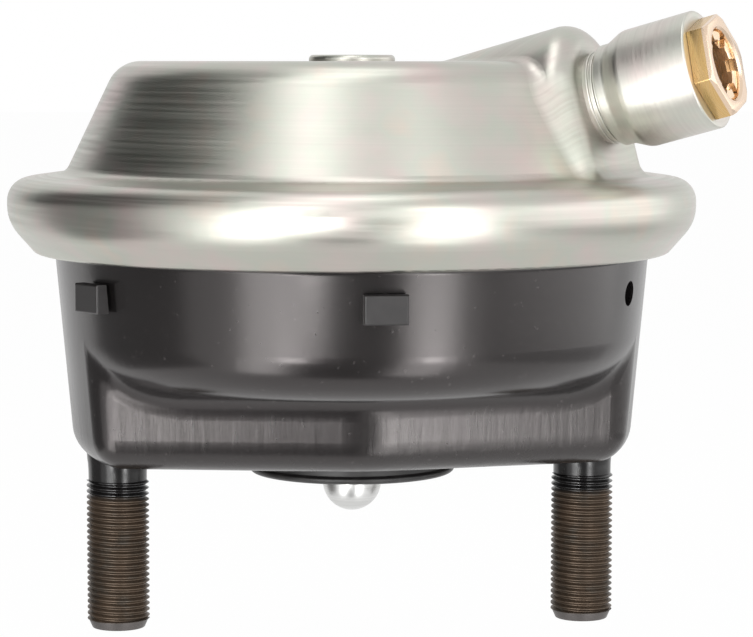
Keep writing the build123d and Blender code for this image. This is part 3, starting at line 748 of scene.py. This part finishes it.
class CHAMBER_OT_collar(Builder):
    """Model the moulded sealing collar under the mounting face"""

    bl_idname = "chamber.collar"
    bl_label = "Sealing Collar"

    def execute(self, context):
        mm = in_mm(context.scene.chamber_collar)
        low = mm.lower_face
        collar = turned("moulded_sealing_collar", [
            (mm.hole_radius, low, 0.5), (20.0, low), (mm.face_radius, low, 0.5), (mm.rim_radius, low + 0.7, 0.3),
            (mm.rim_radius, low + 1.5, 0.3), (mm.neck_radius, low + 1.9, 0.2), (mm.neck_radius, mm.groove_start),
            (mm.groove_radius, mm.groove_start), (mm.groove_radius, mm.groove_end), (mm.lip_radius, mm.groove_end),
            (mm.lip_radius, mm.lip_end), (mm.hole_radius, mm.lip_end, 0.4), (mm.hole_radius, low),
        ])
        dress(collar, "collar_rubber", "casing", "sealing_collar")
        return {"FINISHED"}


class CHAMBER_OT_port(Builder):
    """Model the nozzle, its weld ring, the brass body and the release collet"""

    bl_idname = "chamber.port"
    bl_label = "Air Port"

    def nozzle(self, mm):
        piece = turned("turned_nozzle", [
            (mm.passage_radius, mm.spigot_start), (mm.spigot_radius, mm.spigot_start), (mm.spigot_radius, 0),
            (mm.neck_radius, 0), (mm.neck_radius, mm.neck_end, 0.25), (mm.step_radius, mm.neck_end, 0.3),
            (mm.step_radius, mm.step_end, 0.5), (mm.body_radius, mm.body_start, 0.9),
            (mm.body_radius, mm.body_end, 0.5), (mm.bore_radius, mm.body_end, 0.2), (mm.bore_radius, mm.bore_start),
            (mm.passage_radius, mm.bore_start), (mm.passage_radius, mm.spigot_start),
        ])
        return dress(put(piece, PORT_FRAME), "nozzle_zinc", "casing", "port_nozzle")

    def weld_ring(self, mm):
        """Two thin curled rims of weld flash round the neck's foot."""
        inner, outer, end = mm.neck_radius - 0.05, mm.neck_radius + 0.2, mm.neck_end - 0.05
        piece = turned("weld_flash", [
            (inner, 0.02), (outer, 0.02), (outer, 0.95, 0.1), (outer + 0.5, 1.0, 0.15), (outer + 0.45, 1.5, 0.15),
            (outer, 1.6, 0.1), (outer, 2.2, 0.1), (outer + 0.4, 2.2, 0.15), (outer + 0.35, 2.7, 0.15),
            (outer, 2.8, 0.1), (outer, end), (inner, end), (inner, 0.02),
        ])
        return dress(put(piece, PORT_FRAME), "nozzle_zinc", "casing", "nozzle_weld_ring")

    def hexagon(self, mm, turn, back):
        """The hexagon, its corners turned down and its mouth bored and chamfered."""
        face, mouth = mm.hexagon_face, mm.mouth_radius
        corner = mm.hexagon_flats / 2 / cos(radians(30))
        bpy.ops.object.select_all(action="DESELECT")
        bpy.ops.mesh.primitive_cylinder_add(
            vertices=6, radius=corner * MM, depth=(face - back) * MM, location=(0, 0, (face + back) / 2 * MM)
        )
        hexagon = bpy.context.object
        put(hexagon, Matrix.Rotation(turn, 4, "Z") @ hexagon.matrix_world)
        apply_modifier("BEVEL", width=0.2 * MM, segments=3, limit_method="ANGLE")
        bore = turned("bore", [
            (0, back - 2.3), (mouth, back - 2.3), (mouth, face - 0.6), (mouth + 0.6, face + 0.1), (0, face + 0.1),
        ], NARROW_STEPS)
        crop = turned("crop", [
            (0, back - 0.01), (corner + 1, back - 0.01), (corner, face - 0.75), (corner - 1.1, face + 0.01),
            (0, face + 0.01),
        ], NARROW_STEPS)
        cut_with(hexagon, crop, "INTERSECT")
        cut_with(hexagon, bore, "DIFFERENCE")
        return hexagon

    def body(self, mm, turn, nozzle):
        """The hexagon, and the cartridge behind it."""
        hexagon = self.hexagon(mm, turn, nozzle.body_end)
        start, end = nozzle.bore_start, nozzle.body_end + 0.05
        cartridge = turned("cartridge", [
            (nozzle.passage_radius, start), (mm.cartridge_radius, start, 0.3), (mm.cartridge_radius, end),
            (mm.mouth_radius, end), (mm.mouth_radius, mm.mouth_start), (mm.neck_radius, mm.mouth_start),
            (mm.neck_radius, mm.ring_end), (mm.ring_radius, mm.ring_end), (mm.ring_radius, mm.socket_end),
            (mm.socket_radius, mm.socket_end), (mm.socket_radius, mm.socket_start),
            (nozzle.passage_radius, mm.socket_start), (nozzle.passage_radius, start),
        ], NARROW_STEPS)
        body = joined(hexagon, cartridge)
        body.name = "hexagon_fitting_body"
        bpy.ops.object.shade_smooth_by_angle(angle=SMOOTH)
        return dress(put(body, PORT_FRAME), "fitting_brass", "casing", "fitting_body")

    def collet(self, mm, notches):
        """The notched release sleeve, cut by a ring of small blocks."""
        sleeve = turned("sleeve", [
            (mm.bore_radius, mm.catch_start), (mm.catch_radius, mm.catch_start), (mm.catch_radius, mm.catch_end),
            (mm.sleeve_radius, mm.catch_end), (mm.sleeve_radius, mm.head_start),
            (mm.head_radius, mm.head_start, 0.2), (mm.head_radius, mm.head_end, 0.35),
            (mm.bore_radius, mm.head_end, 0.35), (mm.bore_radius, mm.catch_start),
        ], NARROW_STEPS)
        place = Matrix.Translation(Vector((mm.head_radius, 0, mm.head_end)) * MM)
        for notch in range(notches):
            bpy.ops.object.select_all(action="DESELECT")
            bpy.ops.mesh.primitive_cube_add(size=1)
            block = bpy.context.object
            block.scale = Vector((6, mm.notch_width, 2 * mm.notch_depth)) * MM  # 6 passes through the head's wall
            bpy.ops.object.transform_apply(scale=True)
            apply_modifier("BEVEL", width=0.3 * MM, segments=3)
            put(block, Matrix.Rotation(2 * pi * notch / notches, 4, "Z") @ place)
            cut_with(sleeve, block, "DIFFERENCE")
        sleeve.name = "notched_release_collet"
        bpy.ops.object.shade_smooth_by_angle(angle=SMOOTH)
        return dress(put(sleeve, PORT_FRAME), "fitting_brass", "collet", "release_collet")

    def execute(self, context):
        scene = context.scene
        nozzle = in_mm(scene.chamber_nozzle)
        self.nozzle(nozzle)
        self.weld_ring(nozzle)
        self.body(in_mm(scene.chamber_fitting), scene.chamber_fitting.hexagon_turn, nozzle)
        self.collet(in_mm(scene.chamber_collet), scene.chamber_collet.notches)
        return {"FINISHED"}


class CHAMBER_OT_solids(Builder):
    """Give the solids that are shown as they are their finishes"""

    bl_idname = "chamber.solids"
    bl_label = "Solid Finishes"

    def execute(self, context):
        slots = {part["node"]: part["material_slot"] for part in frame["record"]["subparts"]}
        for name, node in frame["nodes"].items():
            if not node.material_slots:
                node.data.materials.append(None)
            for place in node.material_slots:
                place.material = finish_of(slots[name])
        return {"FINISHED"}


# Stage


TARGET = Vector((0, 0, 0.05))  # what the lamps face
CAMERA_PLACE = (-0.0736, -0.7241, 0.1010)
CAMERA_TURN = Euler((1.4804, -0.0009, -0.1099))
CAMERA_LENS = 135.7
CAMERA_SENSOR = 36

# Name, setting, width and height in m, then azimuth and elevation in degrees, distance in m, roll in degrees
LAMPS = [
    ("left_softbox", "left_light", (0.28, 2.00), (-35, -3, 0.9, -13)),
    ("right_softbox", "right_light", (0.30, 2.00), (24, -7, 0.9, 0)),
    ("upper_softbox", "upper_light", (0.40, 0.90), (-32, 75, 0.9, 0)),
    ("side_softbox", "side_light", (1.20, 0.76), (82, 9, 0.95, 0)),
    ("low_softbox", "drum_light", (0.14, 0.16), (-20, -6, 0.9, 0)),
    ("left_base_softbox", "base_light", (0.13, 0.12), (-28, -22, 0.9, 0)),
    ("right_base_softbox", "base_light", (0.10, 0.12), (25, -22, 0.88, 0)),
]
SHEETS = [
    ("left_flag", "left_flag", (0.90, 0.79), (-97, 37, 0.95, 0)),
    ("lower_flag", "lower_flag", (0.90, 0.95), (-97, -12, 0.95, 0)),
    ("rear_flag", "left_flag", (0.50, 0.55), (-124, 20, 0.97, 0)),
    ("overhead_flag", "overhead_flag", (0.50, 0.45), (-80, 66, 0.9, 0)),
    ("front_card", "front_card", (0.90, 1.55), (-3, -29, 1.2, 0)),
    ("side_card", "side_card", (1.60, 0.50), (80, -20, 1.2, 0)),
]


class CHAMBER_OT_stage(Builder):
    """Set up the floor, the softboxes, the room and the camera"""

    bl_idname = "chamber.stage"
    bl_label = "Stage"

    def lay(self, name, size, matrix, finish):
        """A plain rectangle of the stage."""
        bpy.ops.object.select_all(action="DESELECT")
        bpy.ops.mesh.primitive_plane_add(size=1)
        sheet = bpy.context.object
        sheet.name = name
        sheet.data.materials.append(finish.material)
        put(sheet, matrix @ Matrix.Diagonal((*size, 1, 1)))
        sheet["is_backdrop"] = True
        return sheet

    def floor(self):
        """A white floor that takes no mirror image, just under the rod's lowest reach."""
        paint = Finish("pale_floor", roughness=1.0, specular=0.0, base_color=(0.93, 0.93, 0.93, 1))
        matt = Value(paint, paint.shader.outputs[0])
        paint.feed(paint.tree.nodes["Material Output"].inputs["Surface"], paint.show_background(matt, 0.97))
        stroke = JOINTS["rod_stroke"]["range_m"][1]
        height = min(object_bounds()[0][2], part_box("push_rod")[0][2] - stroke)
        floor = self.lay("floor", (12, 12), Matrix.Translation((0, 3, height)), paint)
        floor.visible_glossy = False
        floor.visible_shadow = False

    def facing(self, azimuth, elevation, distance, roll):
        """A place round the chamber from which a sheet or lamp faces it."""
        away = Vector((
            sin(radians(azimuth)) * cos(radians(elevation)),
            -cos(radians(azimuth)) * cos(radians(elevation)),
            sin(radians(elevation)),
        ))
        turn = away.to_track_quat("Z", "Y").to_matrix() @ Matrix.Rotation(radians(roll), 3, "Z")
        return Matrix.Translation(TARGET + away * distance) @ turn.to_4x4()

    def softbox(self, name, radiance, size, *place):
        light = bpy.data.lights.new(name, "AREA")
        light.shape = "RECTANGLE"
        light.size, light.size_y = size
        light.energy = radiance * pi * size[0] * size[1]
        lamp = bpy.data.objects.new(name, light)
        bpy.context.collection.objects.link(lamp)
        lamp.matrix_world = self.facing(*place)

    def sheet(self, name, shade, size, *place):
        """A dark or grey sheet that only polished surfaces mirror."""
        cloth = Finish(name, roughness=1.0, specular=0.0, base_color=(0, 0, 0, 1), emission_strength=1.0)
        cloth.shader.inputs["Emission Color"].default_value = (shade, shade, shade, 1)
        sheet = self.lay(name, size, self.facing(*place), cloth)
        sheet.visible_camera = False
        sheet.visible_diffuse = False
        sheet.visible_transmission = False
        sheet.visible_shadow = False

    def room(self, strength):
        """An even grey room, seen as white by the camera and by metal."""
        world = bpy.data.worlds.new("room")
        bpy.context.scene.world = world
        world.use_nodes = True
        nodes = Nodes(world.node_tree)
        shade = world.node_tree.nodes["Background"]
        shade.inputs["Color"].default_value = (1, 1, 1, 1)
        shade.inputs["Strength"].default_value = strength
        seen = nodes.show_background(Value(nodes, shade.outputs[0]), 1.0)
        nodes.feed(world.node_tree.nodes["World Output"].inputs["Surface"], seen)

    def camera(self):
        view = bpy.data.cameras.new("camera")
        view.sensor_width = CAMERA_SENSOR
        view.lens = CAMERA_LENS
        view.clip_end = 50
        camera = bpy.data.objects.new("camera", view)
        bpy.context.collection.objects.link(camera)
        camera.location = CAMERA_PLACE
        camera.rotation_euler = CAMERA_TURN
        bpy.context.scene.camera = camera

    def execute(self, context):
        scene = context.scene
        scene.view_settings.view_transform = "Standard"
        settings = scene.chamber_stage
        self.floor()
        for name, setting, size, place in LAMPS:
            self.softbox(name, getattr(settings, setting), size, *place)
        for name, setting, size, place in SHEETS:
            self.sheet(name, getattr(settings, setting), size, *place)
        self.room(settings.room)
        self.camera()
        return {"FINISHED"}


class CHAMBER_PT_sidebar(bpy.types.Panel):
    """The pieces of the brake chamber"""

    bl_idname = "CHAMBER_PT_sidebar"
    bl_label = "Brake Chamber"
    bl_space_type = "VIEW_3D"
    bl_region_type = "UI"
    bl_category = "Chamber"

    def draw(self, context):
        for operator in OPERATORS:
            self.layout.operator(operator.bl_idname)


GROUPS = {
    "chamber_studs": StudSizes,
    "chamber_rod": RodSizes,
    "chamber_collar": CollarSizes,
    "chamber_nozzle": NozzleSizes,
    "chamber_fitting": FittingSizes,
    "chamber_collet": ColletSizes,
    "chamber_finish": FinishColours,
    "chamber_stage": StageSettings,
}
OPERATORS = [
    CHAMBER_OT_solids,
    CHAMBER_OT_studs,
    CHAMBER_OT_rod,
    CHAMBER_OT_collar,
    CHAMBER_OT_port,
    CHAMBER_OT_stage,
]


def register():
    for kind in (*GROUPS.values(), *OPERATORS, CHAMBER_PT_sidebar):
        bpy.utils.register_class(kind)
    for name, group in GROUPS.items():
        setattr(bpy.types.Scene, name, PointerProperty(type=group))


def unregister():
    for name in GROUPS:
        delattr(bpy.types.Scene, name)
    for kind in (CHAMBER_PT_sidebar, *reversed(OPERATORS), *reversed(GROUPS.values())):
        bpy.utils.unregister_class(kind)


def main():
    register()
    for operator in OPERATORS:
        group, name = operator.bl_idname.split(".")
        getattr(getattr(bpy.ops, group), name)()


if __name__ == "__main__":
    main()
